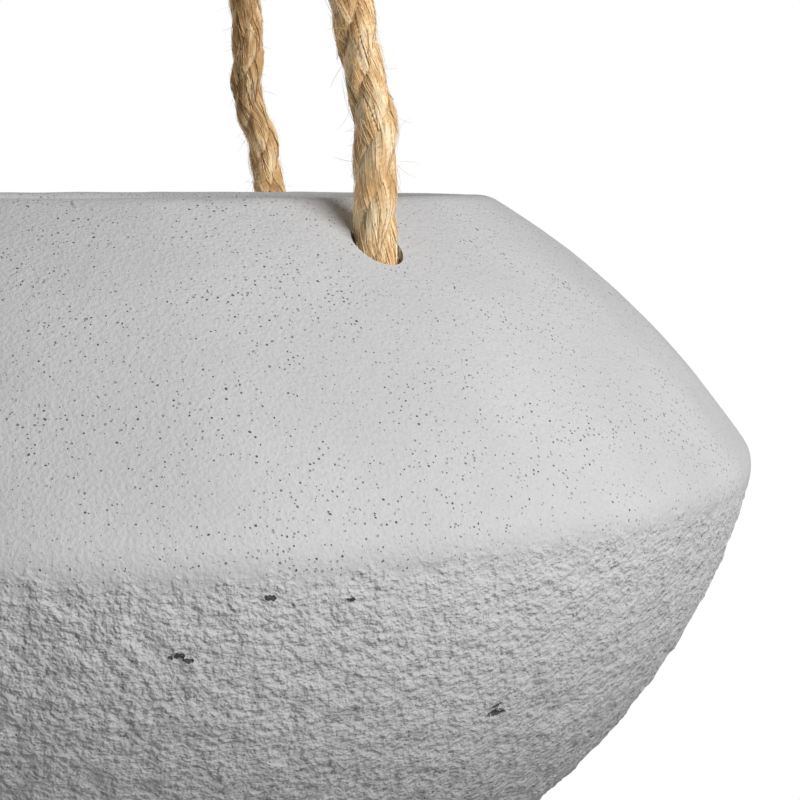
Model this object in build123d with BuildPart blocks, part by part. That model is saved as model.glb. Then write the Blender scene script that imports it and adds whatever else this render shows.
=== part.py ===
# Hanging planter: a round cast-stone bowl on three jute ropes, gathered under a steel ring.
# Millimetres, +Z up. The origin is the point where the ring bears on its ceiling hook.
# The rope holes stand at 60, 180 and 300 degrees round the bowl's axis, which is the Z axis.
import os
from math import cos, hypot, pi, radians, sin, sqrt, tan

from build123d import *

os.makedirs("parts", exist_ok=True)

# Bowl, seen in half section: radii from the axis, drops below the rim plane
RIDGE_RADIUS = 145.0
RIDGE_DROP = 56.0
MOUTH_RADIUS = 76.0
RIM_WIDTH = 11.0
BASE_RADIUS = 48.0
BOWL_HEIGHT = 157.0
WALL = 9.0
LIP_HEIGHT = 9.0
BASE_THICKNESS = 12.0
SHOULDER_BULGE = 4.8
BODY_BULGE = 19.0
RIDGE_ROUND = 8.0
RIM_ROUND = 8.0
LIP_ROUND = 3.0
FOOT_ROUND = 3.0
FLOOR_ROUND = 14.0

# Drain hole and its rubber plug
DRAIN_DIAMETER = 14.0
DRAIN_SEAT_DIAMETER = 26.0
DRAIN_SEAT_DEPTH = 4.0
PLUG_CLEARANCE = 0.3
PLUG_STEM_TAPER = 0.6
PLUG_STEM_REACH = 3.0
PLUG_EDGE_ROUND = 0.8
PLUG_PULL_DIAMETER = 12.0
PLUG_PULL_DEPTH = 1.6

# Ropes, their holes and stopper knots
ROPE_DIAMETER = 8.0
ROPE_HOLE_DIAMETER = 9.8
ROPE_RING_RADIUS = 100.0
ROPE_ANGLES = {"right": -60.0, "rear": 60.0, "left": 180.0}
ROPE_STRAIGHT_ABOVE_RIM = 9.0
ROPE_RISE = 320.0
KNOT_DIAMETER = 22.0
KNOT_LOWER_DIAMETER = 19.0
KNOT_SEAT_GAP = 0.3
KNOT_TAIL = 16.0
SLACK_SHARE = 0.45

# Hanging ring
RING_RADIUS = 20.0
RING_WIRE = 5.0

# Rope eye over the ring, and the whipping that binds it to the three ropes
EYE_CLEARANCE = 0.25
EYE_DROP = 20.0
STRAND_GAP = 0.3
TWINE_DIAMETER = 2.5
TWINE_GAP = 0.45
TWINE_CLEARANCE = 0.3
TWINE_TURNS = 11
BUNDLED_STRANDS = 5
STRAIGHT_BELOW_WHIPPING = 1.0

# Heights down from the hook
ring_z = RING_WIRE / 2 - RING_RADIUS
eye_z = ring_z - RING_RADIUS
whipping_top = eye_z - EYE_DROP
twine_pitch = TWINE_DIAMETER + TWINE_GAP
whipping_length = TWINE_TURNS * twine_pitch
whipping_bottom = whipping_top - whipping_length
rim_z = whipping_bottom - ROPE_RISE
base_z = rim_z - BOWL_HEIGHT

# The eye is as wide as the ring's wire or as the bundle needs, whichever is more
bundle_step = 2 * pi / BUNDLED_STRANDS
eye_radius = max(
    RING_WIRE / 2 + ROPE_DIAMETER / 2 + EYE_CLEARANCE,
    (ROPE_DIAMETER + STRAND_GAP) / 2 * sin(bundle_step) / sin(bundle_step / 2),
)
bundle_radius = eye_radius / sin(bundle_step)
bundle_x = bundle_radius * cos(bundle_step)
bundle_angles = {"right": -bundle_step / 2, "rear": bundle_step / 2, "left": pi}
twine_radius = bundle_radius + ROPE_DIAMETER / 2 + TWINE_CLEARANCE + TWINE_DIAMETER / 2

# Corners of the bowl's half section
foot_corner = (BASE_RADIUS, base_z)
ridge_corner = (RIDGE_RADIUS, rim_z - RIDGE_DROP)
rim_corner = (MOUTH_RADIUS + RIM_WIDTH, rim_z)
mouth_corner = (MOUTH_RADIUS, rim_z)
lip_corner = (MOUTH_RADIUS, rim_z - LIP_HEIGHT)
inner_ridge_corner = (RIDGE_RADIUS - WALL, rim_z - RIDGE_DROP)
floor_corner = (BASE_RADIUS, base_z + BASE_THICKNESS)


def arc_circle(start, end, bulge):
    """Centre and radius of the circle through start and end that bulges away from the axis."""
    chord = hypot(end[0] - start[0], end[1] - start[1])
    radius = (chord**2 / 4 + bulge**2) / (2 * bulge)
    across = ((end[1] - start[1]) / chord, -(end[0] - start[0]) / chord)
    middle = ((start[0] + end[0]) / 2, (start[1] + end[1]) / 2)
    reach = radius - bulge
    return (middle[0] - across[0] * reach, middle[1] - across[1] * reach), radius


def bulged(start, end, bulge):
    """The point half way along that circle's arc."""
    chord = hypot(end[0] - start[0], end[1] - start[1])
    across = ((end[1] - start[1]) / chord, -(end[0] - start[0]) / chord)
    return ((start[0] + end[0]) / 2 + across[0] * bulge, (start[1] + end[1]) / 2 + across[1] * bulge)


def finish(piece, name, colour):
    piece.part.label = name
    piece.part.color = Color(*colour)
    export_step(piece.part, f"parts/{name}.step")


# Bowl: one turned section, then the drain hole with its seat and the three rope holes
with BuildPart() as bowl:
    with BuildSketch(Plane.XZ) as section:
        with BuildLine():
            Line((0, base_z), foot_corner)
            ThreePointArc(foot_corner, bulged(foot_corner, ridge_corner, BODY_BULGE), ridge_corner)
            ThreePointArc(ridge_corner, bulged(ridge_corner, rim_corner, SHOULDER_BULGE), rim_corner)
            Line(rim_corner, mouth_corner)
            Line(mouth_corner, lip_corner)
            ThreePointArc(
                inner_ridge_corner, bulged(inner_ridge_corner, lip_corner, SHOULDER_BULGE), lip_corner
            )
            ThreePointArc(
                floor_corner, bulged(floor_corner, inner_ridge_corner, BODY_BULGE), inner_ridge_corner
            )
            Line(floor_corner, (0, base_z + BASE_THICKNESS))
            Line((0, base_z + BASE_THICKNESS), (0, base_z))
        make_face()
        for corner, radius in (
            (foot_corner, FOOT_ROUND),
            (ridge_corner, RIDGE_ROUND),
            (rim_corner, RIM_ROUND),
            (mouth_corner, LIP_ROUND),
            (lip_corner, LIP_ROUND),
            (inner_ridge_corner, RIDGE_ROUND),
            (floor_corner, FLOOR_ROUND),
        ):
            place = Vector(corner[0], corner[1], 0)
            fillet(section.vertices().sort_by_distance(place)[0], radius)
    revolve(axis=Axis.Z)
    with Locations(Plane((0, 0, base_z), z_dir=(0, 0, -1))):
        CounterBoreHole(DRAIN_DIAMETER / 2, DRAIN_SEAT_DIAMETER / 2, DRAIN_SEAT_DEPTH, BASE_THICKNESS)
    for angle in ROPE_ANGLES.values():
        with Locations((ROPE_RING_RADIUS * cos(radians(angle)), ROPE_RING_RADIUS * sin(radians(angle)), rim_z)):
            Cylinder(ROPE_HOLE_DIAMETER / 2, 2 * RIDGE_DROP, mode=Mode.SUBTRACT)
finish(bowl, "bowl", (0.72, 0.72, 0.73))

# Drain plug: a flange in the seat, a tapered stem through the floor and a dished underside to pull
plug_top = base_z + BASE_THICKNESS + PLUG_STEM_REACH
seat_z = base_z + DRAIN_SEAT_DEPTH
flange_radius = DRAIN_SEAT_DIAMETER / 2 - PLUG_CLEARANCE
stem_radius = DRAIN_DIAMETER / 2 - PLUG_CLEARANCE
with BuildPart() as drain_plug:
    with BuildSketch(Plane.XZ) as plug_section:
        with BuildLine():
            Polyline(
                (0, base_z + PLUG_PULL_DEPTH),
                (PLUG_PULL_DIAMETER / 2 - PLUG_PULL_DEPTH, base_z + PLUG_PULL_DEPTH),
                (PLUG_PULL_DIAMETER / 2, base_z + PLUG_CLEARANCE),
                (flange_radius, base_z + PLUG_CLEARANCE),
                (flange_radius, seat_z - PLUG_CLEARANCE),
                (stem_radius, seat_z - PLUG_CLEARANCE),
                (stem_radius - PLUG_STEM_TAPER, plug_top),
                (0, plug_top),
                close=True,
            )
        make_face()
        for corner in (
            (flange_radius, base_z + PLUG_CLEARANCE),
            (flange_radius, seat_z - PLUG_CLEARANCE),
            (stem_radius - PLUG_STEM_TAPER, plug_top),
        ):
            fillet(plug_section.vertices().sort_by_distance(Vector(*corner, 0))[0], PLUG_EDGE_ROUND)
    revolve(axis=Axis.Z)
finish(drain_plug, "drain_plug", (0.15, 0.15, 0.15))

# Hanging ring: one turn of round wire, upright in the XZ plane
with BuildPart() as hanging_ring:
    with Locations(Plane((0, 0, ring_z), z_dir=(0, -1, 0))):
        Torus(RING_RADIUS, RING_WIRE / 2)
finish(hanging_ring, "hanging_ring", (0.6, 0.6, 0.62))

# Stopper knots: each bears on the underside of the shoulder, where its rope comes through
(shoulder_x, shoulder_z), shoulder_radius = arc_circle(inner_ridge_corner, lip_corner, SHOULDER_BULGE)
knot_radius = KNOT_DIAMETER / 2
lower_radius = KNOT_LOWER_DIAMETER / 2
rope_radius = ROPE_DIAMETER / 2
knot_reach = shoulder_radius - knot_radius - KNOT_SEAT_GAP
knot_z = shoulder_z + sqrt(knot_reach**2 - (ROPE_RING_RADIUS - shoulder_x) ** 2)
knot_top = knot_z + sqrt(knot_radius**2 - rope_radius**2)
lower_z = knot_z - knot_radius
waist_drop = (2 * knot_radius**2 - lower_radius**2) / (2 * knot_radius)
waist = (sqrt(knot_radius**2 - waist_drop**2), knot_z - waist_drop)
tail_top = lower_z - sqrt(lower_radius**2 - rope_radius**2)
tail_end = lower_z - lower_radius - KNOT_TAIL


def rope_foot(name, z):
    angle = radians(ROPE_ANGLES[name])
    return Vector(ROPE_RING_RADIUS * cos(angle), ROPE_RING_RADIUS * sin(angle), z)


for name in ROPE_ANGLES:
    with BuildPart() as knot:
        with BuildSketch(Plane.XZ):
            with BuildLine():
                Line((0, knot_top), (rope_radius, knot_top))
                ThreePointArc((rope_radius, knot_top), (knot_radius, knot_z), waist)
                ThreePointArc(waist, (lower_radius, lower_z), (rope_radius, tail_top))
                Polyline((rope_radius, tail_top), (rope_radius, tail_end), (0, tail_end), (0, knot_top))
            make_face()
        revolve(axis=Axis.Z)
    knot.part.position += rope_foot(name, 0)
    finish(knot, f"knot_{name}", (0.75, 0.6, 0.4))


def tube(path):
    """A round rope along the path, with its volume against section times length."""
    with BuildPart() as rope:
        with BuildSketch(Plane(origin=path @ 0, z_dir=path % 0)):
            Circle(rope_radius)
        sweep(path=path)
    share = rope.part.volume / (pi * rope_radius**2 * path.length)
    print(f"length {path.length:.1f}, volume share {share:.4f}")
    return rope


def corner_radius(before, corner, after):
    """The largest arc that the two runs at this corner allow."""
    half_turn = radians((corner - before).get_angle(after - corner)) / 2
    return SLACK_SHARE * min((corner - before).length, (after - corner).length) / tan(half_turn)


# Ropes: up out of the hole, across to the bundle, and straight up through the whipping
arc_share = SLACK_SHARE / (1 - SLACK_SHARE)
gather_z = whipping_bottom - STRAIGHT_BELOW_WHIPPING - whipping_length * arc_share
for name, bundle_angle in bundle_angles.items():
    strand = Vector(bundle_x + bundle_radius * cos(bundle_angle), bundle_radius * sin(bundle_angle), 0)
    route = [
        rope_foot(name, knot_top),
        rope_foot(name, rim_z + ROPE_STRAIGHT_ABOVE_RIM),
        strand + Vector(0, 0, gather_z),
        strand + Vector(0, 0, whipping_top),
    ]
    arcs = [corner_radius(*route[i - 1 : i + 2]) for i in (1, 2)]
    print(f"rope_{name} arcs", [round(arc, 1) for arc in arcs], [tuple(round(v, 2) for v in p) for p in route])
    with BuildLine() as rope_line:
        FilletPolyline(*route, radius=arcs)
    finish(tube(rope_line.wire()), f"rope_{name}", (0.8, 0.65, 0.42))

# Rope eye: a hairpin over the ring's wire, its two arms down through the whipping
with BuildLine() as eye_line:
    Line((0, -eye_radius, whipping_bottom), (0, -eye_radius, eye_z))
    ThreePointArc((0, -eye_radius, eye_z), (0, 0, eye_z + eye_radius), (0, eye_radius, eye_z))
    Line((0, eye_radius, eye_z), (0, eye_radius, whipping_bottom))
finish(tube(eye_line.wire()), "rope_eye", (0.8, 0.65, 0.42))

# Whipping: one unbroken length of twine, wound upwards round the bundle
climb = twine_pitch / (2 * pi)


def winding_point(turn):
    return Vector(
        bundle_x + twine_radius * cos(turn),
        twine_radius * sin(turn),
        whipping_bottom + TWINE_DIAMETER / 2 + climb * turn,
    )


def winding_tangent(turn):
    return Vector(-twine_radius * sin(turn), twine_radius * cos(turn), climb).normalized()


def biarc(turn, next_turn):
    """Two arcs from one place on the winding to the next, tangent at both and to each other."""
    start, end = winding_point(turn), winding_point(next_turn)
    first, last = winding_tangent(turn), winding_tangent(next_turn)
    span = end - start
    along = span.dot(first + last)
    spread = 2 * (1 - first.dot(last))
    reach = (sqrt(along**2 + spread * span.dot(span)) - along) / spread
    joint = (start + first * reach + end - last * reach) / 2
    heading = (end - last * reach - start - first * reach).normalized()
    TangentArc(start, joint, tangent=first)
    TangentArc(joint, end, tangent=heading)


last_turn = 2 * pi * (TWINE_TURNS - 1)
with BuildLine() as twine_line:
    Line(winding_point(0) - winding_tangent(0) * TWINE_DIAMETER, winding_point(0))
    for half_turn in range(2 * (TWINE_TURNS - 1)):
        biarc(pi * half_turn, pi * (half_turn + 1))
    Line(winding_point(last_turn), winding_point(last_turn) + winding_tangent(last_turn) * TWINE_DIAMETER)
twine_path = twine_line.wire()
with BuildPart() as whipping:
    with BuildSketch(Plane(origin=twine_path @ 0, z_dir=twine_path % 0)):
        Circle(TWINE_DIAMETER / 2)
    sweep(path=twine_path)
finish(whipping, "whipping", (0.7, 0.5, 0.3))
samples = 600
steps = [twine_path @ (step / samples) for step in range(samples + 1)]
apart = samples // (2 * TWINE_TURNS)
turn_gap = min((a - b).length for i, a in enumerate(steps) for b in steps[i + apart :]) - TWINE_DIAMETER
print(f"whipping length {twine_path.length:.1f}, least gap to itself {turn_gap:.2f}")
print(f"drop of the base below the hook {-base_z:.1f}")
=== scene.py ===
import math

import bmesh
import bpy
import numpy as np
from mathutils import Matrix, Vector


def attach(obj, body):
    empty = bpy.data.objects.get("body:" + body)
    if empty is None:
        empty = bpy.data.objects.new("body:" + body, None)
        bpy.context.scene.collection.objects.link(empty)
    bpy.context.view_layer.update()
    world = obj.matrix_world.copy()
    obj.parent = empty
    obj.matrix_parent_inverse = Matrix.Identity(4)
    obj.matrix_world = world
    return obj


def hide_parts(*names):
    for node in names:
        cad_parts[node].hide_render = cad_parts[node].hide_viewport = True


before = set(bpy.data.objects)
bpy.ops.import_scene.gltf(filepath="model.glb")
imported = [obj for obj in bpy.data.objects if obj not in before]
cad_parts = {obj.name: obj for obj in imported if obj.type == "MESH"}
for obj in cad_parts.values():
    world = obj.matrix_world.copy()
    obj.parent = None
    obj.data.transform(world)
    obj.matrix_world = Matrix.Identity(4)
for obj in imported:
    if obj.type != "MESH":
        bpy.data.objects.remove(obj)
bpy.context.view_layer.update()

# Camera. A short telephoto a third of a metre from the bowl and level with its rim, tipped down
# a little, so that the right half of the bowl fills the picture and two ropes leave at its top.
CAMERA_PLACE = (-0.00796, -0.4669, -0.40593)
CAMERA_TIP = 6.148
CAMERA_TURN = -9.3
LENS = 93.36
bpy.ops.object.camera_add(
    location=CAMERA_PLACE,
    rotation=(math.radians(90 - CAMERA_TIP), 0, math.radians(CAMERA_TURN)),
)
camera = bpy.context.object
camera.data.lens = LENS
camera.data.clip_start = 0.01
bpy.context.scene.camera = camera
bpy.context.scene.view_settings.view_transform = "Standard"

# Rope. Three-strand jute, 8 mm thick and laid right-handed. Its strands are twisted the other way
# from seven yarns each, so that the fibres run nearly along the rope, and it is hairy all over.
ROPE_DIAMETER = 0.008
LAY_LENGTH = 0.0335
STRAND_RADIUS = 0.0026
STRAND_YARNS = 7
STRAND_SIDES = 40
YARN_TURN = 330.0
YARN_BULGE = 0.13
YARN_SWELL = 0.06
END_TAPER = 0.6
HEAD = (1.0, 0.85, 0.58)
STRAW = (0.97, 0.69, 0.37)
TAN = (0.66, 0.40, 0.175)
JUTE_GROOVE_SHADE = (0.12, 0.06, 0.022)
AGED = (0.46, 0.27, 0.11)
HAIR_ROOT = (0.2, 0.105, 0.038)


def unit(vectors):
    """The same directions at a length of 1."""
    return vectors / np.linalg.norm(vectors, axis=-1, keepdims=True)


def distances(points):
    """How far along the line each point lies."""
    return np.concatenate(([0], np.cumsum(np.linalg.norm(np.diff(points, axis=0), axis=1))))


def evenly(points, step):
    """The same line with its points an even step apart."""
    along = distances(points)
    marks = np.linspace(0, along[-1], int(round(along[-1] / step)) + 1)
    return np.stack([np.interp(marks, along, points[:, axis]) for axis in range(3)], axis=1)


def smooth_line(name, route, step):
    """Points an even step apart on the smooth line that has the route as its control points."""
    curve = bpy.data.curves.new(name, "CURVE")
    curve.dimensions = "3D"
    curve.resolution_u = 24
    spline = curve.splines.new("NURBS")
    spline.points.add(len(route) - 1)
    for point, place in zip(spline.points, route):
        point.co = (*place, 1)
    spline.order_u = 3
    spline.use_endpoint_u = True
    drawn = bpy.data.objects.new(name, curve)
    line = bpy.data.meshes.new_from_object(drawn)
    bpy.data.objects.remove(drawn)
    return evenly(np.array([vertex.co for vertex in line.vertices]), step)


# Two odd directions, which hardly any rope or hair runs along.
ANY_WAY = (0.31, 0.94, 0.12)
ANY_OTHER_WAY = (0.43, -0.27, 0.86)


def carried_sides(points):
    """Two directions square to the line at each point, carried along it without twist."""
    tangents = unit(np.gradient(points, axis=0))
    side = np.cross(tangents[0], ANY_WAY)
    sides = []
    for tangent in tangents:
        side = unit(side - tangent * (side @ tangent))
        sides.append(side)
    return np.array(sides), np.cross(tangents, sides)


def wander(places, wavelength, amount, draw):
    """A slow random wave along the places."""
    total = np.zeros(len(places))
    for octave in (1.0, 0.57, 0.31):
        total += np.sin(2 * np.pi * places / (wavelength * octave) + draw.uniform(0, 2 * np.pi)) * octave
    return total * amount


class Strand:
    """One strand of a rope, twisted from yarns: its centreline, directions and surface."""

    def __init__(self, core, turn, rope_radius, radius, lay, yarns, yarn_turn, draw):
        self.core = core
        self.places = distances(core)
        self.radius = radius
        self.yarns = yarns
        self.yarn_turn = yarn_turn
        self.thickness = 1 + wander(self.places, 0.021, 0.025, draw)
        self.drift = wander(self.places, 0.023, 0.4, draw)
        self.yarn_phase = draw.uniform(0, 2 * np.pi, (2, yarns))
        self.yarn_wave = draw.uniform(0.009, 0.017, (2, yarns))
        sides, thirds = carried_sides(core)
        angle = 2 * np.pi * (self.places / lay + turn) + wander(self.places, 0.06, 0.09, draw)
        outward = sides * np.cos(angle)[:, None] + thirds * np.sin(angle)[:, None]
        spread = (rope_radius - radius) * (1 + wander(self.places, 0.034, 0.04, draw))
        self.centre = core + outward * spread[:, None]
        self.along = unit(np.gradient(self.centre, axis=0))
        self.outward = unit(outward - self.along * np.sum(outward * self.along, axis=1)[:, None])
        self.across = np.cross(self.along, self.outward)

    def at(self, values, place):
        """These values of the strand's rows, read at this place along it."""
        return np.stack([np.interp(place, self.places, values[:, axis]) for axis in range(3)], axis=-1)

    def yarn(self, place, angle):
        """How near the middle of its yarn a point is, how far that yarn stands out, and its tone."""
        drift = np.interp(place, self.places, self.drift)
        count = self.yarns * (angle + self.yarn_turn * place + drift) / (2 * np.pi)
        number = np.floor(count).astype(int) % self.yarns
        swell, tone = (
            np.sin(2 * np.pi * place / wave[number] + phase[number])
            for wave, phase in zip(self.yarn_wave, self.yarn_phase)
        )
        return np.abs(np.sin(np.pi * count)) ** 0.6, swell, tone

    def surface(self, place, angle, lift=0.0):
        """The point on the strand at this place along it and this angle round it."""
        middle, swell, _ = self.yarn(place, angle)
        share = 1 + YARN_BULGE * (middle - 0.75) + YARN_SWELL * swell * middle
        radius = self.radius * np.interp(place, self.places, self.thickness) * share + lift
        sideways = self.at(self.outward, place) * np.cos(angle)[..., None]
        sideways = sideways + self.at(self.across, place) * np.sin(angle)[..., None]
        return self.at(self.centre, place) + sideways * radius[..., None]


def add_piece(name, corners, faces, values):
    """A smooth mesh with these values at its corners."""
    mesh = bpy.data.meshes.new(name)
    mesh.from_pydata(corners.tolist(), [], faces)
    for key, value in values.items():
        attribute = mesh.attributes.new(key, "FLOAT", "POINT")
        attribute.data.foreach_set("value", value.astype(np.float32))
    mesh.shade_smooth()
    piece = bpy.data.objects.new(name, mesh)
    bpy.context.collection.objects.link(piece)
    return piece


def strand_mesh(name, strands, sides, rope_radius):
    """Closed tubes, one for each strand, mapped along their fibres."""
    corners, faces, fibre, start = [], [], [], 0
    values = {"depth": [], "gap": [], "tone": []}
    for strand in strands:
        rows = len(strand.places)
        angles = np.linspace(-np.pi, np.pi, sides + 1)
        place, angle = np.meshgrid(strand.places, angles[:-1], indexing="ij")
        surface = strand.surface(place, angle)
        for end, inner in ((0, 1), (-1, -2)):
            surface[end] = strand.centre[end] + (surface[inner] - strand.centre[inner]) * END_TAPER
        middle, _, tone = strand.yarn(place, angle)
        off_core = np.linalg.norm(surface - strand.core[:, None, :], axis=2)
        values["depth"].append((off_core / rope_radius).ravel())
        values["gap"].append((1 - middle).ravel())
        values["tone"].append((0.5 + 0.5 * tone).ravel())
        corners.append(surface.reshape(-1, 3))
        row, side = np.meshgrid(np.arange(rows - 1), np.arange(sides), indexing="ij")
        after = (side + 1) % sides
        low = start + row * sides
        quads = np.stack((low + side, low + after, low + sides + after, low + sides + side), axis=2)
        faces += quads.reshape(-1, 4).tolist()
        faces.append(list(range(start + sides - 1, start - 1, -1)))
        faces.append(list(range(start + (rows - 1) * sides, start + rows * sides)))
        near = strand.places[np.stack((row, row, row + 1, row + 1), axis=2)]
        turned = angles[np.stack((side, side + 1, side + 1, side), axis=2)] + strand.yarn_turn * near
        fibre.append(np.stack((strand.radius * turned, near), axis=3).reshape(-1, 2))
        fibre.append(np.zeros((2 * sides, 2)))
        start += rows * sides
    values = {key: np.concatenate(value) for key, value in values.items()}
    piece = add_piece(name, np.concatenate(corners), faces, values)
    layer = piece.data.uv_layers.new(name="fibre")
    layer.data.foreach_set("uv", np.concatenate(fibre).astype(np.float32).ravel())
    return piece


def hair_mesh(name, kinds):
    """Fine three-sided hairs, tapered to their tips, of several kinds in one mesh."""
    corners, faces, tones, start = [], [], [], 0
    for paths, thickness, tone in kinds:
        count, steps = paths.shape[:2]
        tangents = unit(np.gradient(paths, axis=1))
        side = unit(np.cross(tangents, ANY_OTHER_WAY))
        third = np.cross(tangents, side)
        taper = np.sin(np.linspace(0.25, np.pi - 0.12, steps)) ** 0.6
        width = taper[None, :, None] * thickness[:, None, None]
        turns = 2 * np.pi * np.arange(3) / 3
        rings = [paths + (side * math.cos(turn) + third * math.sin(turn)) * width for turn in turns]
        corners.append(np.stack(rings, axis=2).reshape(-1, 3))
        step, corner = np.meshgrid(np.arange(steps - 1), np.arange(3), indexing="ij")
        low, after = step * 3, (corner + 1) % 3
        quads = np.stack((low + corner, low + after, low + 3 + after, low + 3 + corner), axis=2)
        starts = start + np.arange(count) * steps * 3
        faces += (starts[:, None, None] + quads.reshape(1, -1, 4)).reshape(-1, 4).tolist()
        last = (steps - 1) * 3
        faces += (starts[:, None] + np.array((2, 1, 0))).tolist()
        faces += (starts[:, None] + last + np.array((0, 1, 2))).tolist()
        tones.append(np.repeat(tone, steps * 3))
        start += count * steps * 3
    return add_piece(name, np.concatenate(corners), faces, {"tone": np.concatenate(tones)})


def lying_fibres(strands, per_metre, lengths, widths, tones, lift, crossing, draw, steps=6):
    """Fibres that lie on the strands, more or less along their yarns, with ends that lift a little."""
    paths = []
    for strand in strands:
        total = strand.places[-1]
        count = int(per_metre * total / len(strands))
        long = draw.uniform(*lengths, count)
        start = draw.uniform(0, 1, count) * (total - long)
        place = start[:, None] + long[:, None] * np.linspace(0, 1, steps)
        angle = draw.uniform(-2.0, 2.0, count)[:, None] - strand.yarn_turn * (place - start[:, None])
        angle += strand.yarn_turn * long[:, None] / 2
        angle += draw.normal(0, crossing, count)[:, None] * np.linspace(-1, 1, steps)
        angle += draw.normal(0, 0.12, (count, 1)) * np.sin(place * draw.uniform(300, 900, (count, 1)))
        raised = draw.uniform(*lift, count)[:, None]
        ends = np.abs(np.linspace(-1, 1, steps)) ** 6 * draw.uniform(0, 0.0005, count)[:, None]
        paths.append(strand.surface(place, angle, raised + ends))
    paths = np.concatenate(paths)
    return paths, draw.uniform(*widths, len(paths)), draw.uniform(*tones, len(paths))


def loose_hairs(strands, per_metre, lengths, draw, steps=6):
    """Hairs that stand off the strands and curl."""
    paths = []
    for strand in strands:
        total = strand.places[-1]
        count = int(per_metre * total / len(strands))
        root = draw.uniform(0.001, total - 0.001, count)
        foot = strand.surface(root, draw.uniform(-1.6, 1.6, count))
        out = unit(foot - strand.at(strand.core, root))
        along = strand.at(strand.along, root) * draw.choice((-1, 1), count)[:, None]
        lean = np.abs(draw.normal(0, 0.45, count))[:, None]
        heading = unit(out * lean + along + draw.normal(0, 0.3, (count, 3)))
        curl = draw.normal(0, 1, (count, 3))
        curl -= heading * np.sum(curl * heading, axis=1)[:, None]
        curl = unit(curl) * np.abs(draw.normal(0, 1, count))[:, None]
        long = lengths[0] + (lengths[1] - lengths[0]) * draw.uniform(0, 1, count) ** 3
        path = [foot - out * 0.0002]
        for _ in range(steps - 1):
            heading = unit(heading + curl * 0.3 - out * 0.04)
            path.append(path[-1] + heading * (long / (steps - 1))[:, None])
        paths.append(np.stack(path, axis=1))
    paths = np.concatenate(paths)
    return paths, draw.uniform(0.00002, 0.00004, len(paths)), draw.uniform(0.45, 1, len(paths))


def frayed_end(strands, end, draw, count=60, steps=6):
    """Fibres that come loose from each strand's cut end and spread."""
    paths = []
    for strand in strands:
        out = strand.along[end] * (1 if end else -1)
        turn = draw.uniform(0, 2 * np.pi, count)[:, None]
        radial = strand.outward[end] * np.cos(turn) + strand.across[end] * np.sin(turn)
        share = np.sqrt(draw.uniform(0, 1, count))[:, None]
        path = [strand.centre[end] + radial * share * strand.radius * 0.85 - out * 0.0015]
        away = unit(path[0] - strand.core[end]) * draw.uniform(0, 0.5, (count, 1))
        heading = unit(out + radial * share * 0.2 + away * 0.4)
        long = draw.uniform(0.003, 0.0075, count)[:, None]
        curl = draw.normal(0, 0.14, (count, 3))
        for _ in range(steps - 1):
            heading = unit(heading + curl)
            path.append(path[-1] + heading * long / (steps - 1))
        paths.append(np.stack(path, axis=1))
    paths = np.concatenate(paths)
    return paths, draw.uniform(0.00005, 0.00013, len(paths)), draw.uniform(0.1, 1, len(paths))


class Socket:
    """A shader socket. Arithmetic on it adds Math nodes, and node adds any other."""

    def __init__(self, tree, output=None):
        self.tree = tree
        self.output = output

    def node(self, kind, inputs=None, output=0, **settings):
        """Adds a node with these settings and inputs, and gives its numbered output."""
        made = self.tree.nodes.new(kind)
        stops = settings.pop("stops", ())
        for key, value in settings.items():
            setattr(made, key, value)
        for number, (place, colour) in enumerate(stops):
            ramp = made.color_ramp.elements
            element = ramp[number] if number < 2 else ramp.new(place)
            element.position = place
            element.color = (*colour, 1)
        for key, value in (inputs or {}).items():
            slot = made.inputs[key]
            if isinstance(value, Socket):
                self.tree.links.new(value.output, slot)
            else:
                slot.default_value = (*value, 1) if slot.type == "RGBA" else value
        return Socket(self.tree, made.outputs[output])

    def maths(self, operation, first, second):
        return self.node("ShaderNodeMath", {0: first, 1: second}, operation=operation)

    def __add__(self, other):
        return self.maths("ADD", self, other)

    def __sub__(self, other):
        return self.maths("SUBTRACT", self, other)

    def __rsub__(self, other):
        return self.maths("SUBTRACT", other, self)

    def __mul__(self, other):
        return self.maths("MULTIPLY", self, other)

    __radd__ = __add__
    __rmul__ = __mul__

    def larger(self, other):
        return self.maths("MAXIMUM", self, other)

    def between(self, low, high):
        """0 up to low and 1 from high, smooth between."""
        ends = {"Value": self, "From Min": low, "From Max": high}
        return self.node("ShaderNodeMapRange", ends, interpolation_type="SMOOTHSTEP")

    def tint(self, low, high):
        """The colour low where this is 0 and the colour high where it is 1."""
        return self.node("ShaderNodeMix", {0: self, 6: low, 7: high}, 2, data_type="RGBA")

    def on_piece(self):
        """Where a point lies on its piece, in the piece's own coordinates."""
        return self.node("ShaderNodeTexCoord", output=3)

    def along_fibres(self):
        """Where a point lies round its strand and along it."""
        return self.node("ShaderNodeUVMap", uv_map="fibre")

    def value_of(self, name):
        """The value of this name that the mesh holds at each point."""
        return self.node("ShaderNodeAttribute", output=2, attribute_name=name)

    def stretched(self, scale):
        return self.node("ShaderNodeMapping", {"Vector": self, "Scale": scale})

    def noise(self, scale, detail=2.0, roughness=0.5):
        inputs = {"Vector": self, "Scale": scale, "Detail": detail, "Roughness": roughness}
        return self.node("ShaderNodeTexNoise", inputs)

    def cells(self, scale, output=0, **settings):
        return self.node("ShaderNodeTexVoronoi", {"Vector": self, "Scale": scale}, output, **settings)

    def raised(self, strength=1.0):
        """A normal for a surface that stands this many millimetres proud."""
        return self.node("ShaderNodeBump", {"Height": self, "Strength": strength, "Distance": 0.001})


def material(name, **constants):
    """A material, a first socket for its shader tree, and a function that feeds its shader."""
    made = bpy.data.materials.new(name)
    made.use_nodes = True
    shader = made.node_tree.nodes["Principled BSDF"]
    for key, value in constants.items():
        shader.inputs[key.replace("_", " ")].default_value = value

    def feed(slot, source):
        made.node_tree.links.new(source.output, shader.inputs[slot])

    return made, Socket(made.node_tree), feed


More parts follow.
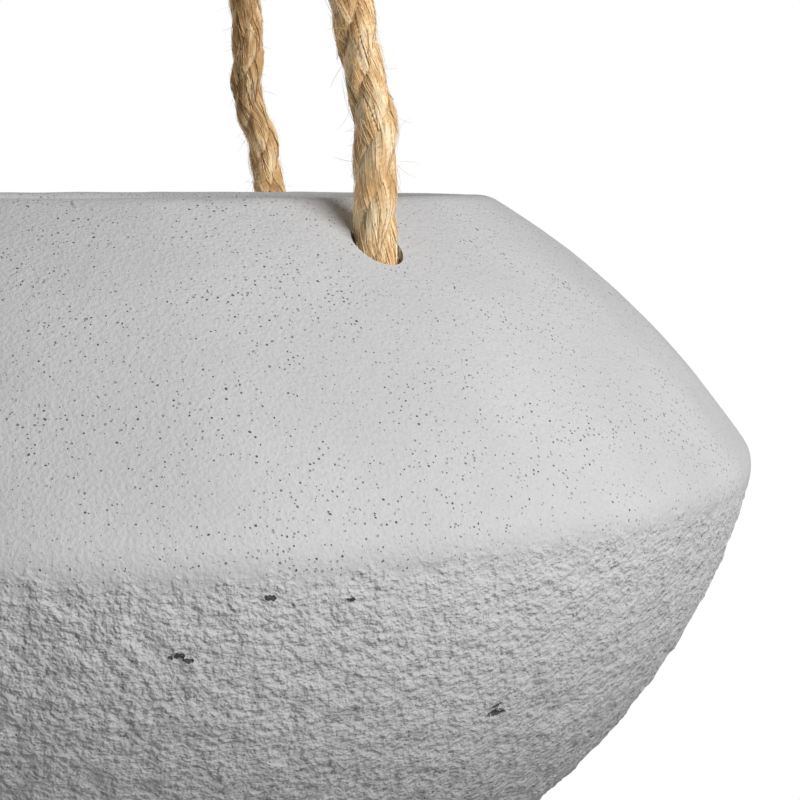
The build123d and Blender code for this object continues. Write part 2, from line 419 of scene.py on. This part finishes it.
jute, root, feed = material("jute", Roughness=0.75, Sheen_Weight=0.1, Specular_IOR_Level=0.2)
fibre = root.along_fibres()
streaks = fibre.stretched((4800, 150, 1)).noise(1.0, 3.0, 0.6)
yarns = fibre.stretched((1700, 70, 1)).noise(1.0, 2.0)
patches = root.on_piece().noise(160, 3.0)
depth = root.value_of("depth")
gap = root.value_of("gap")
tone = root.value_of("tone")
bright = streaks * 0.55 + yarns * 0.45 + (tone - 0.5) * 0.26
colour = bright.between(0.34, 0.5).tint(TAN, STRAW)
colour = bright.between(0.5, 0.62).tint(colour, HEAD)
colour = (patches.between(0.5, 0.75) * 0.4).tint(colour, AGED)
# Painted shade: the grooves between strands and the gaps between yarns are tinted towards a dark brown.
shade_hollow = (1 - depth.between(0.62, 0.92)).larger(gap.between(0.35, 0.95) * 0.8)
colour = (shade_hollow * (1.35 - streaks)).between(0.2, 1.0).tint(colour, JUTE_GROOVE_SHADE)
feed("Base Color", colour)
feed("Normal", (streaks * 0.2 + yarns * 0.25).raised())

jute_hair, root, feed = material("jute_hair", Roughness=0.6, Sheen_Weight=0.15, Specular_IOR_Level=0.3)
tone = root.value_of("tone")
stops = ((0.0, HAIR_ROOT), (0.28, TAN), (0.56, STRAW), (0.88, HEAD))
feed("Base Color", root.node("ShaderNodeValToRGB", {"Fac": tone}, stops=stops))


def finish_soft(piece, made, slot, *replaced):
    """Gives a rope piece its material, hides the solids it stands for, and hangs it. The slot is not
    used.
    """
    piece.data.materials.append(made)
    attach(piece, "bowl")
    if replaced:
        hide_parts(*replaced)


# Kinds of lying fibre: how many a metre, then their lengths, widths, tones, lifts and crossing.
LYING = (
    (3400, (0.005, 0.015), (0.00006, 0.00016), (0, 1), (-0.00004, 0.0002), 0.22),
    (6000, (0.004, 0.014), (0.00003, 0.00006), (0.2, 1), (0.00005, 0.00032), 0.3),
    (2000, (0.004, 0.010), (0.000025, 0.000045), (0.7, 1), (0.0003, 0.0007), 0.8),
)
LOOSE_PER_METRE = 9000
LOOSE_LENGTHS = (0.0006, 0.007)


def lay_rope(name, line, replaced, draw, fray=(), hairiness=1.0, shade_drop=0.0):
    """Lays three-strand rope along the line, and returns its strands, lying fibres and loose hairs."""
    radius = ROPE_DIAMETER / 2
    twist = (radius, STRAND_RADIUS, LAY_LENGTH, STRAND_YARNS, YARN_TURN, draw)
    strands = [Strand(line, number / 3, *twist) for number in range(3)]
    rope = strand_mesh(f"{name}_strands", strands, STRAND_SIDES, radius)
    finish_soft(rope, jute, "jute_rope", replaced)
    lying = [lying_fibres(strands, count * hairiness, *kind, draw) for count, *kind in LYING]
    lying = hair_mesh(f"{name}_fibres", lying)
    finish_soft(lying, jute_hair, "jute_rope")
    loose = [loose_hairs(strands, LOOSE_PER_METRE * hairiness, LOOSE_LENGTHS, draw)]
    loose += [frayed_end(strands, end, draw) for end in fray]
    loose = hair_mesh(f"{name}_hairs", loose)
    finish_soft(loose, jute_hair, "jute_rope")
    # Every tone here is lowered by the given amount, as painted shade; only the rear leg gets it.
    for piece in (rope, lying, loose):
        tone = piece.data.attributes["tone"].data
        fresh = np.empty(len(tone), np.float32)
        tone.foreach_get("value", fresh)
        tone.foreach_set("value", fresh - shade_drop)
    return rope, lying, loose


# Rope legs. Each comes up from its stopper knot through its hole in the shoulder, and runs taut to
# the whipping under the ring. It ends cut and frayed just above the whipping. The two in the
# picture keep their slight kinks above the holes, and the rear one is darker, as painted shade.
KNOT_TOP = -0.43579
BUNDLE_FOOT = -0.1175
BUNDLE_TOP = -0.0575
STEP = 0.0008
REAR_PAINTED_SHADE = 0.28
ROUTES = {
    "right": (
        (0.05, -0.0866, KNOT_TOP),
        (0.0495, -0.0860, -0.4075),
        (0.0504, -0.0843, -0.3955),
        (0.0480, -0.0822, -0.3865),
        (0.0454, -0.0763, -0.3660),
        (0.01683, -0.02159, -0.1765),
        (0.00794, -0.00417, BUNDLE_FOOT),
        (0.00794, -0.00417, BUNDLE_TOP),
    ),
    "rear": (
        (0.05, 0.0866, KNOT_TOP),
        (0.05, 0.0866, -0.4165),
        (0.0463, 0.0859, -0.4060),
        (0.0461, 0.0846, -0.3960),
        (0.0405, 0.0832, -0.3860),
        (0.0420, 0.0766, -0.3660),
        (0.01683, 0.02159, -0.1765),
        (0.00794, 0.00417, BUNDLE_FOOT),
        (0.00794, 0.00417, BUNDLE_TOP),
    ),
    "left": (
        (-0.1, 0.0, KNOT_TOP),
        (-0.1, 0.0, -0.40095),
        (-0.0884, 0.0, -0.3681),
        (-0.0250, 0.0, -0.1772),
        (-0.0049, 0.0, BUNDLE_FOOT),
        (-0.0049, 0.0, BUNDLE_TOP),
    ),
}
lines = {side: smooth_line(side, route, STEP) for side, route in ROUTES.items()}
for seed, side in enumerate(ROUTES, 70):
    draw = np.random.default_rng(seed)
    # The rear leg is toned darker, as painted shade.
    shade_drop = REAR_PAINTED_SHADE if side == "rear" else 0.0
    lay_rope(f"rope_{side}", lines[side], f"rope_{side}", draw, fray=(-1,), shade_drop=shade_drop)

# Stopper knots. An overhand knot in the end of each leg, pulled tight under the shoulder, with a
# short frayed tail below it.
KNOT_WIDE = 0.0025
KNOT_TALL = 0.00088
KNOT_DROP = 0.0128
KNOT_TAIL = 0.0435
KNOT_SPAN = 2.12
KNOT_SETTLES = 1.55
KNOT_SMOOTHINGS = 30
KNOT_HAIRINESS = 0.5


def overhand(top):
    """Points along an overhand knot that hangs from this place, from its top to its tail's end."""
    turn = np.linspace(KNOT_SPAN, -KNOT_SPAN, 240)
    loop = np.stack((turn**3 - 3 * turn, turn**4 - 4 * turn**2 + 2, turn**5 - 10 * turn), axis=1)
    loop *= (KNOT_WIDE, KNOT_WIDE, KNOT_TALL)
    settle = np.clip((np.abs(turn) - KNOT_SETTLES) / 0.5, 0, 1)[:, None]
    loop[:, :2] *= 1 - settle**2 * (3 - 2 * settle)
    loop[:, 2] -= KNOT_DROP
    tail = np.linspace(loop[-1], (0, 0, -KNOT_TAIL), 40)[1:]
    head = np.linspace((0, 0, 0.002), loop[0], 20)[:-1]
    path = np.concatenate((head, loop, tail))
    for _ in range(KNOT_SMOOTHINGS):
        path[1:-1] = (path[:-2] + 2 * path[1:-1] + path[2:]) / 4
    return path + top


for seed, side in enumerate(ROUTES, 80):
    draw = np.random.default_rng(seed)
    line = evenly(overhand(np.array(ROUTES[side][0])), STEP)
    lay_rope(
        f"knot_{side}", line, f"knot_{side}", draw, fray=(-1,), hairiness=KNOT_HAIRINESS
    )

# Rope eye. A short length of the same rope goes over the ring's wire as a hairpin, and both its
# arms go down through the whipping, where they end cut and frayed.
EYE_ARM = 0.00675
EYE_FOOT = -0.08995
EYE_HEIGHT = -0.0375
EYE_ROUTE = (
    (0, -EYE_ARM, EYE_FOOT),
    (0, -EYE_ARM, EYE_HEIGHT - EYE_ARM),
    (0, -EYE_ARM, EYE_HEIGHT + EYE_ARM),
    (0, EYE_ARM, EYE_HEIGHT + EYE_ARM),
    (0, EYE_ARM, EYE_HEIGHT - EYE_ARM),
    (0, EYE_ARM, EYE_FOOT),
)
eye_line = smooth_line("rope_eye", EYE_ROUTE, STEP)
eye = lay_rope("rope_eye", eye_line, "rope_eye", np.random.default_rng(90), fray=(0, -1))

# Whipping. Ten turns of thin three-ply jute twine, wound round the three legs and the two arms of
# the eye, which it binds together into one bundle.
TWINE_DIAMETER = 0.0025
TWINE_LAY = 0.0075
TWINE_PLIES = 3
TWINE_STEP = 0.0006
TWINE_HAIRS_PER_METRE = 2400
TWINE_HAIR_LENGTHS = (0.0006, 0.004)
TWINE_BROWN = (0.40, 0.235, 0.095)
TWINE_PALE = (0.64, 0.44, 0.22)
TWINE_PLY_SHADE = (0.09, 0.045, 0.018)
PLY_RADIUS = 0.00078
PLY_SIDES = 10
PLY_TURN = 900.0
WHIPPING_RADIUS = 0.01265
WHIPPING_CENTRE = 0.002193
WHIPPING_PITCH = 0.00295
WHIPPING_TURNS = 10
POINTS_A_TURN = 24
twine_route = []
for number in range(WHIPPING_TURNS * POINTS_A_TURN + 1):
    turns = number / POINTS_A_TURN
    angle = 2 * math.pi * turns
    twine_route.append(
        (
            WHIPPING_CENTRE + WHIPPING_RADIUS * math.cos(angle),
            WHIPPING_RADIUS * math.sin(angle),
            EYE_FOOT + TWINE_DIAMETER / 2 + WHIPPING_PITCH * turns,
        )
    )
twine_line = smooth_line("whipping", twine_route, TWINE_STEP)
draw = np.random.default_rng(95)
twist = (TWINE_DIAMETER / 2, PLY_RADIUS, TWINE_LAY, 3, PLY_TURN, draw)
plies = [Strand(twine_line, number / TWINE_PLIES, *twist) for number in range(TWINE_PLIES)]
whipping = strand_mesh("whipping_plies", plies, PLY_SIDES, TWINE_DIAMETER / 2)
jute_twine, root, feed = material("jute_twine", Roughness=0.75, Sheen_Weight=0.2, Specular_IOR_Level=0.2)
fibre = root.along_fibres()
streaks = fibre.stretched((6000, 300, 1)).noise(1.0, 3.0)
depth = root.value_of("depth")
colour = streaks.between(0.35, 0.68).tint(TWINE_BROWN, TWINE_PALE)
# Painted shade: the twine is tinted darker where it lies deep between its plies.
feed("Base Color", (1 - depth.between(0.55, 0.95)).tint(colour, TWINE_PLY_SHADE))
feed("Normal", (streaks * 0.12).raised())
finish_soft(whipping, jute_twine, "jute_twine", "whipping")
whipping_hairs = [loose_hairs(plies, TWINE_HAIRS_PER_METRE, TWINE_HAIR_LENGTHS, draw)]
whipping_hairs = hair_mesh("whipping_hairs", whipping_hairs)
finish_soft(whipping_hairs, jute_hair, "jute_twine")

# Bowl. One casting in pale grey stone: a smooth shoulder up to the mouth, a ridge, and a rough body
# below it that shows the sand. It is turned from its section, and its three rope holes are drilled.
RIM_Z = -0.40995
RIDGE = (0.145, RIM_Z - 0.056)
FOOT = (0.048, RIM_Z - 0.157)
RIM = (0.087, RIM_Z)
MOUTH = (0.076, RIM_Z)
LIP = (0.076, RIM_Z - 0.009)
INNER_RIDGE = (0.136, RIM_Z - 0.056)
INNER_FLOOR = (0.048, RIM_Z - 0.145)
DRAIN_TOP = (0.007, INNER_FLOOR[1])
SEAT_INSIDE = (0.007, FOOT[1] + 0.004)
SEAT_OUTSIDE = (0.013, FOOT[1] + 0.004)
SEAT_EDGE = (0.013, FOOT[1])
BODY_BULGE = 0.019
SHOULDER_BULGE = 0.0048
HOLE_RADIUS = 0.0049
HOLE_RING = 0.1
HOLE_ANGLES = (-60, 60, 180)
DRILL_MIDDLE = RIM_Z - 0.03
DRILL_DEPTH = 0.08
DRILL_SIDES = 40
AROUND = 180
# The section's corners in their order, with the bulge and the mesh step of the run after each.
SECTION = (
    (SEAT_EDGE, 0, 0.005),
    (FOOT, BODY_BULGE, 0.00125),
    (RIDGE, SHOULDER_BULGE, 0.0027),
    (RIM, 0, 0.0015),
    (MOUTH, 0, 0.0015),
    (LIP, -SHOULDER_BULGE, 0.004),
    (INNER_RIDGE, -BODY_BULGE, 0.004),
    (INNER_FLOOR, 0, 0.005),
    (DRAIN_TOP, 0, 0.002),
    (SEAT_INSIDE, 0, 0.002),
    (SEAT_OUTSIDE, 0, 0.002),
)
# The corners that are rounded, with their radius and the pieces of their arc.
ROUNDINGS = (
    (FOOT, 0.003, 4),
    (RIDGE, 0.008, 10),
    (RIM, 0.008, 8),
    (MOUTH, 0.003, 5),
    (LIP, 0.003, 5),
    (INNER_RIDGE, 0.008, 5),
    (INNER_FLOOR, 0.014, 5),
)


def arc(start, end, bulge, step):
    """Points from start to just before end, on an arc that bulges away from the axis."""
    span = Vector(end) - Vector(start)
    if not bulge:
        count = max(1, round(span.length / step))
        return [Vector(start) + span * number / count for number in range(count)]
    radius = (span.length**2 / 4 + bulge**2) / (2 * abs(bulge))
    turn = math.copysign(2 * math.asin(span.length / 2 / radius), bulge)
    count = round(radius * abs(turn) / step)
    chord = 2 * radius * math.sin(abs(turn) / 2 / count)
    heading = math.atan2(span.y, span.x) - turn / 2
    points = [Vector(start)]
    for number in range(count - 1):
        way = heading + turn * (number + 0.5) / count
        points.append(points[-1] + Vector((math.cos(way), math.sin(way))) * chord)
    return points


def rounded(points, corner, radius, pieces):
    """The section with this corner rounded to the radius."""
    at = min(range(len(points)), key=lambda number: (points[number] - Vector(corner)).length)
    middle = points[at]
    into = (middle - points[at - 1]).normalized()
    out = (points[(at + 1) % len(points)] - middle).normalized()
    turn = into.angle(out)
    reach = radius * math.tan(turn / 2)
    curve = []
    for number in range(pieces + 1):
        share = number / pieces
        weights = ((1 - share) ** 2, 2 * share * (1 - share) * math.cos(turn / 2), share**2)
        ends = (middle - into * reach, middle, middle + out * reach)
        point = sum((end * weight for end, weight in zip(ends, weights)), Vector((0, 0)))
        curve.append(point / sum(weights))
    near = [number for number, point in enumerate(points) if (point - middle).length <= reach + 0.0003]
    return points[: near[0]] + curve + points[near[-1] + 1 :]


section = []
for (start, bulge, step), (end, _, _) in zip(SECTION, SECTION[1:] + SECTION[:1]):
    section += arc(start, end, bulge, step)
for rounding in ROUNDINGS:
    section = rounded(section, *rounding)

bpy.ops.object.select_all(action="DESELECT")
bpy.ops.mesh.primitive_circle_add(vertices=AROUND, radius=section[0].x, location=(0, 0, section[0].y))
bowl = bpy.context.object
bowl.name = "cast_bowl"
bpy.ops.object.mode_set(mode="EDIT")
for point, after in zip(section, section[1:] + section[:1]):
    bpy.ops.mesh.extrude_edges_move(TRANSFORM_OT_translate={"value": (0, 0, after.y - point.y)})
    bpy.ops.transform.resize(value=(after.x / point.x, after.x / point.x, 1))
bpy.ops.mesh.select_all(action="SELECT")
bpy.ops.mesh.remove_doubles(threshold=0.00002)
bpy.ops.mesh.normals_make_consistent(inside=False)
bpy.ops.object.mode_set(mode="OBJECT")
bpy.ops.object.transform_apply(location=True, rotation=True, scale=True)
for angle in HOLE_ANGLES:
    turn = math.radians(angle)
    place = (HOLE_RING * math.cos(turn), HOLE_RING * math.sin(turn), DRILL_MIDDLE)
    bpy.ops.mesh.primitive_cylinder_add(
        vertices=DRILL_SIDES, radius=HOLE_RADIUS, depth=DRILL_DEPTH, location=place
    )
    drill = bpy.context.object
    cut = bowl.modifiers.new("hole", "BOOLEAN")
    cut.object = drill
    cut.solver = "EXACT"
    bpy.context.view_layer.objects.active = bowl
    bpy.ops.object.modifier_apply(modifier="hole")
    bpy.data.objects.remove(drill)

# The rough body is meshed more finely round its girth, and then its lumps and grains are raised.
BODY_STARTS = 0.0475
ROUGH_TOP = RIDGE[1] - 0.003
ROUGH_FOOT = FOOT[1] + 0.003
ROUGH_LAST = ROUGH_TOP + 0.001
ROUGH_FADE = 0.003
WIDE_BODY = 0.094
ON_FACE = 0.0002
NEAR_FACE = 0.0015
top = max(range(len(section)), key=lambda number: section[number].y)
outside = [point for point in section[:top] if point.x > BODY_STARTS and point.y < RIDGE[1] + 0.003]
heights = [point.y for point in outside]
radii = [point.x for point in outside]


def body_depth(place):
    """How far this place is inside the body's outer face, level across."""
    return np.interp(place.z, heights, radii) - place.xy.length


bpy.ops.object.select_all(action="DESELECT")
bowl.select_set(True)
bpy.context.view_layer.objects.active = bowl
bpy.ops.object.mode_set(mode="EDIT")
bpy.ops.mesh.select_mode(type="EDGE")
for narrowest, widest, cuts in ((0, WIDE_BODY, 1), (WIDE_BODY, 1, 3)):
    bpy.ops.mesh.select_all(action="DESELECT")
    shape = bmesh.from_edit_mesh(bowl.data)
    for edge in shape.edges:
        start, end = (corner.co for corner in edge.verts)
        level = abs(start.z - end.z) < 0.000001 and ROUGH_FOOT < start.z < ROUGH_LAST
        within = narrowest <= start.xy.length < widest
        edge.select = level and within and abs(body_depth(start)) < ON_FACE
    bmesh.update_edit_mesh(bowl.data)
    bpy.ops.mesh.subdivide(number_cuts=cuts)
bpy.ops.object.mode_set(mode="OBJECT")
rough = bowl.vertex_groups.new(name="rough")
for corner in bowl.data.vertices:
    if ROUGH_FOOT < corner.co.z < ROUGH_LAST and abs(body_depth(corner.co)) < NEAR_FACE:
        corner.co.xy *= 1 + body_depth(corner.co) / corner.co.xy.length
        fade = min(ROUGH_TOP - corner.co.z, corner.co.z - ROUGH_FOOT) / ROUGH_FADE
        rough.add([corner.index], max(0.0, min(1.0, fade)), "REPLACE")


def raise_pattern(name, kind, size, height, group=""):
    """Raises the bowl's surface by a solid pattern of this grain size and height."""
    pattern = bpy.data.textures.new(name, kind)
    pattern.noise_scale = size
    raised = bowl.modifiers.new(name, "DISPLACE")
    raised.texture = pattern
    raised.strength = height
    raised.vertex_group = group
    bpy.ops.object.modifier_apply(modifier=name)


raise_pattern("cast_waves", "CLOUDS", 0.017, 0.0005)
raise_pattern("lumps", "CLOUDS", 0.0036, 0.0013, "rough")
raise_pattern("grains", "VORONOI", 0.0024, -0.0008, "rough")
bpy.ops.object.shade_smooth_by_angle(angle=math.radians(50))

# Clefts are the few larger holes in the rough body, where sand broke away: place and size.
CLEFTS = (
    ((0.0096, -0.1395, -0.4824), 0.0014),
    ((0.0112, -0.1393, -0.4831), 0.0010),
    ((0.0676, -0.1128, -0.5010), 0.0019),
    ((0.0672, -0.1133, -0.4994), 0.0014),
    ((0.0246, -0.1410, -0.4730), 0.0012),
    ((0.0377, -0.1376, -0.4745), 0.0009),
    ((-0.0330, 0.1395, -0.4775), 0.0013),
)
CLEFT_FLATNESS = 2.2
CAST = (0.55, 0.545, 0.55)
CAST_PALE = (0.59, 0.59, 0.595)
CAST_DIP_SHADE = (0.40, 0.39, 0.39)
PINHOLE_SHADE = (0.09, 0.08, 0.075)
BODY_TOP_LIGHT = (0.68, 0.675, 0.68)
BODY_FOOT_SHADE = (0.36, 0.36, 0.36)
BODY_HOLLOW_SHADE = (0.15, 0.15, 0.15)
PIT_SHADE = (0.12, 0.115, 0.11)
CLEFT_SHADE = (0.06, 0.055, 0.05)
OUTER_DEPTH = 0.004
outer_face = bowl.data.attributes.new("outer_face", "FLOAT", "POINT")
on_outside = [float(body_depth(corner.co) < OUTER_DEPTH) for corner in bowl.data.vertices]
outer_face.data.foreach_set("value", on_outside)
stone, root, feed = material("cast_stone", Specular_IOR_Level=0.25)
place = root.on_piece()
height = place.node("ShaderNodeSeparateXYZ", {"Vector": place}, 2)
ragged = place.noise(260, 3.0, 0.6)
below = (ROUGH_TOP - height + (ragged - 0.5) * 0.017).between(-0.0015, 0.004)
below = below * root.value_of("outer_face")
lower = (ROUGH_TOP - height).between(0.0, 0.08)


def scattered(cells_a_metre, vector, size):
    """1 in the middle of some of the cells, each spot up to this share of a cell across."""
    spot = vector.cells(cells_a_metre)
    chance = vector.cells(cells_a_metre, 1)
    chance = vector.node("ShaderNodeSeparateColor", {"Color": chance})
    return (chance * size - spot).between(-0.05, 0.05)


leather = place.noise(1350)
ripple = place.noise(450)
crowd = place.noise(60, 2.0).between(0.3, 0.7) * 0.14 + 0.16
warp = place.node("ShaderNodeTexNoise", {"Vector": place, "Scale": 1100, "Detail": 1}, 1)
warped = {0: warp, 1: (0.0005, 0.0005, 0.0005), 2: place}
warped = place.node("ShaderNodeVectorMath", warped, operation="MULTIPLY_ADD")
pore = scattered(1150, warped, crowd)
smooth_relief = leather * 0.21 + ripple * 0.13 - pore * 0.15
flattened = place.stretched((1, 1, 1.2))
lumps = flattened.noise(540, 2.5, 0.58)
grains = warped.cells(1000, feature="SMOOTH_F1")
grit = place.noise(2000, 1.0)
pit = scattered(700, warped, 0.6 - lumps)
cleft = None
for spot, size in CLEFTS:
    away = place.node("ShaderNodeVectorMath", {0: place, 1: spot}, operation="SUBTRACT")
    away = away.stretched((1, 1, CLEFT_FLATNESS))
    away = away.node("ShaderNodeVectorMath", {0: away}, 1, operation="LENGTH")
    hole = (size + (grit - 0.5) * 0.002 + (lumps - 0.5) * 0.003 - away).between(0.0, 0.0006)
    cleft = hole if cleft is None else cleft.larger(hole)
rough_relief = lumps - grains * 0.4 + grit * 0.16 - pit * 0.12 - cleft * 0.6
feed("Normal", (smooth_relief * (1 - below) + rough_relief * below).raised())
mottle = place.noise(30, 3.0)
colour = mottle.between(0.3, 0.7).tint(CAST, CAST_PALE)
# Painted shade: the smooth shoulder is a little darker in the dips of its fine relief.
colour = ((1 - leather.between(0.3, 0.6)) * 0.16).tint(colour, CAST_DIP_SHADE)
faint = place.noise(450, 1.0).between(0.42, 0.6) * 0.6 + 0.35
# Painted shade: the pinholes in the smooth shoulder are tinted nearly black.
colour = (pore * (1 - below) * faint).tint(colour, PINHOLE_SHADE)
shade_hollow = 1 - (lumps - grains * 0.25).between(0.12, 0.42)
# Painted light and shade: the rough body is paler near the ridge and darker towards the foot.
colour = (below * (1 - lower) * 0.32).tint(colour, BODY_TOP_LIGHT)
colour = (below * lower * 0.6).tint(colour, BODY_FOOT_SHADE)
# Painted shade: the hollows between the rough body's lumps are darker, more so towards the foot.
colour = (shade_hollow * (lower * 0.7 + 0.12) * below).tint(colour, BODY_HOLLOW_SHADE)
# Painted shade: the pits and clefts are tinted dark inside, the pits more so towards the foot.
colour = (pit * (lower * 0.3 + 0.55) * below).tint(colour, PIT_SHADE)
colour = (cleft * below * 0.95).tint(colour, CLEFT_SHADE)
feed("Base Color", colour)
feed("Roughness", leather * 0.12 + 0.82)
bowl.data.materials.append(stone)
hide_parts("bowl")
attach(bowl, "bowl")

# Hanging ring. Steel wire 5 mm thick, bent to a ring, welded and brushed, which goes over the
# ceiling hook. It keeps its mesh from the construction.
STEEL_GREY = (0.50, 0.50, 0.51)
STEEL_BRIGHT = (0.66, 0.66, 0.665)
steel, root, feed = material("brushed_steel", Metallic=1.0)
place = root.on_piece()
brushed = place.stretched((1, 0.06, 1)).noise(2600, 3.0)
worn = place.noise(130, 3.0)
feed("Base Color", worn.between(0.35, 0.7).tint(STEEL_GREY, STEEL_BRIGHT))
feed("Roughness", brushed * 0.2 + worn * 0.15 + 0.16)
feed("Normal", (brushed * 0.02).raised())

# Drain plug. Moulded black rubber, pushed into the drain hole from below, so that the bowl can hang
# indoors. It keeps its mesh from the construction too.
RUBBER_BLACK = (0.022, 0.022, 0.023)
RUBBER_DUSTY = (0.075, 0.073, 0.07)
rubber, root, feed = material("plug_rubber", Specular_IOR_Level=0.4)
place = root.on_piece()
dust = place.noise(180, 4.0, 0.6)
fine = place.noise(2200, 2.0)
feed("Base Color", dust.between(0.5, 0.8).tint(RUBBER_BLACK, RUBBER_DUSTY))
feed("Roughness", dust * 0.2 + 0.5)
feed("Normal", (fine * 0.03).raised())
for node, made in (("hanging_ring", steel), ("drain_plug", rubber)):
    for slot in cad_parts[node].material_slots:
        slot.material = made

# Studio. A pale floor well below the hanging bowl, white surroundings, one large soft light from
# the right and a little above, and a weaker one that clears the back.
FLOOR_Z = -2.0
FLOOR_GREY = (0.86, 0.86, 0.86)
FLOOR_PALE = (0.9, 0.9, 0.9)
FILL = 0.15
LIT_PLACE = (0.03, -0.05, -0.47)
# The lights: name, place, size and power.
LIGHTS = (
    ("key", (0.857, -1.012, 0.122), 1.0, 22.0),
    ("back", (-0.8, 1.25, -0.1), 1.2, 15.0),
)
bpy.ops.object.select_all(action="DESELECT")
bpy.ops.mesh.primitive_plane_add(size=1.0, location=(0, 0, FLOOR_Z))
floor = bpy.context.object
floor.name = "studio_floor"
pale, root, feed = material("pale_floor", Roughness=0.8, Emission_Strength=0.8)
speck = root.on_piece().noise(6, 2.0)
feed("Base Color", speck.tint(FLOOR_GREY, FLOOR_PALE))
floor.data.materials.append(pale)
for name, light_place, size, power in LIGHTS:
    bpy.ops.object.light_add(type="AREA", location=light_place)
    light = bpy.context.object
    light.name = name
    light.data.size = size
    light.data.energy = power
    aim = Vector(LIT_PLACE) - Vector(light_place)
    light.rotation_euler = aim.to_track_quat("-Z", "Y").to_euler()
world = bpy.data.worlds.new("studio")
bpy.context.scene.world = world
world.use_nodes = True
sky = world.node_tree.nodes["Background"]
sky.inputs["Color"].default_value = (1, 1, 1, 1)
seen = Socket(world.node_tree).node("ShaderNodeLightPath") * (1 - FILL) + FILL
world.node_tree.links.new(seen.output, sky.inputs["Strength"])
